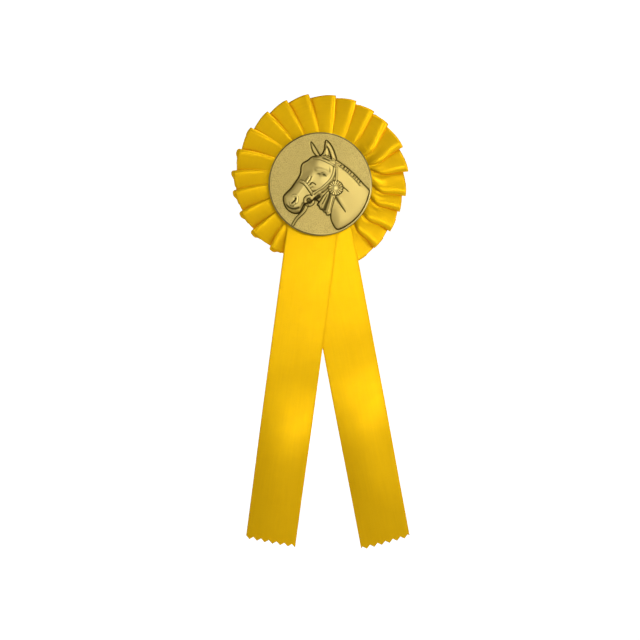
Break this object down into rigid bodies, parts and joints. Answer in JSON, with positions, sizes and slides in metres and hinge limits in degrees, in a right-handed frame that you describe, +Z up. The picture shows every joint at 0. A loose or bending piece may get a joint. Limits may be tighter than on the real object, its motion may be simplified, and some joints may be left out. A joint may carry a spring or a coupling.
{
  "type": "award ribbon",
  "caption": "Prize rosette: an embossed medal on a ring of knife-pleated satin ribbon, with lapped pinked ribbon tails and a bar pin on its card back.",
  "frame": {"origin": "centre of the back cover's rear face, where the rosette meets what it is pinned to", "axes": "+Z up as worn, +X to the right seen from the front, the medal faces -Y and the bar pin is on the +Y side"},
  "size_m": [0.0853, 0.0187, 0.2193],
  "materials": {
    "medal_foil": "satin gold anodised foil, embossed",
    "medal_disc": "moulded disc",
    "foam_pad": "double-sided foam pad",
    "card": "white paperboard",
    "ribbon": "yellow satin ribbon",
    "thread": "yellow sewing thread",
    "glue": "hot-melt glue",
    "staple_wire": "plated wire",
    "pin_steel": "nickel-plated steel"
  },
  "bodies": {
    "rosette": {"medal_face": "medal_foil", "medal_core": "medal_disc", "medal_pad": "foam_pad", "front_card": "card", "pleated_ribbon": "ribbon", "gather_stitch": "thread", "tail_left_tab": "ribbon", "tail_right_tab": "ribbon", "staple_left": "staple_wire", "staple_right": "staple_wire", "centre_glue": "glue", "core_card": "card", "rear_glue_ring": "glue", "back_cover": "card", "pin_bar": "pin_steel", "bar_rivet_left": "pin_steel", "bar_rivet_right": "pin_steel", "hinge_pin": "pin_steel"},
    "tail_left": {"tail_left": "ribbon"},
    "tail_right": {"tail_right": "ribbon"},
    "needle": {"needle": "pin_steel"},
    "roller": {"catch_roller": "pin_steel"}
  },
  "joints": [
    {"name": "tail_left_lift", "type": "hinge", "parent": "rosette", "child": "tail_left", "pos_m": [-0.0047, -0.0077, -0.027], "axis": [-1, 0, 0], "range_deg": [0, 90]},
    {"name": "tail_right_lift", "type": "hinge", "parent": "rosette", "child": "tail_right", "pos_m": [0.0039, -0.0077, -0.027], "axis": [-1, 0, 0], "range_deg": [0, 90]},
    {"name": "pin_open", "type": "hinge", "parent": "rosette", "child": "needle", "pos_m": [-0.0145, 0.0036, 0.009], "axis": [0, 0, 1], "range_deg": [0, 100]},
    {"name": "lock_turn", "type": "hinge", "parent": "rosette", "child": "roller", "pos_m": [0.0148, 0.0036, 0.009], "axis": [-1, 0, 0], "range_deg": [0, 100]}
  ],
  "couplings": [
    {"joint": "tail_right_lift", "follows": "tail_left_lift", "ratio": 1}
  ]
}
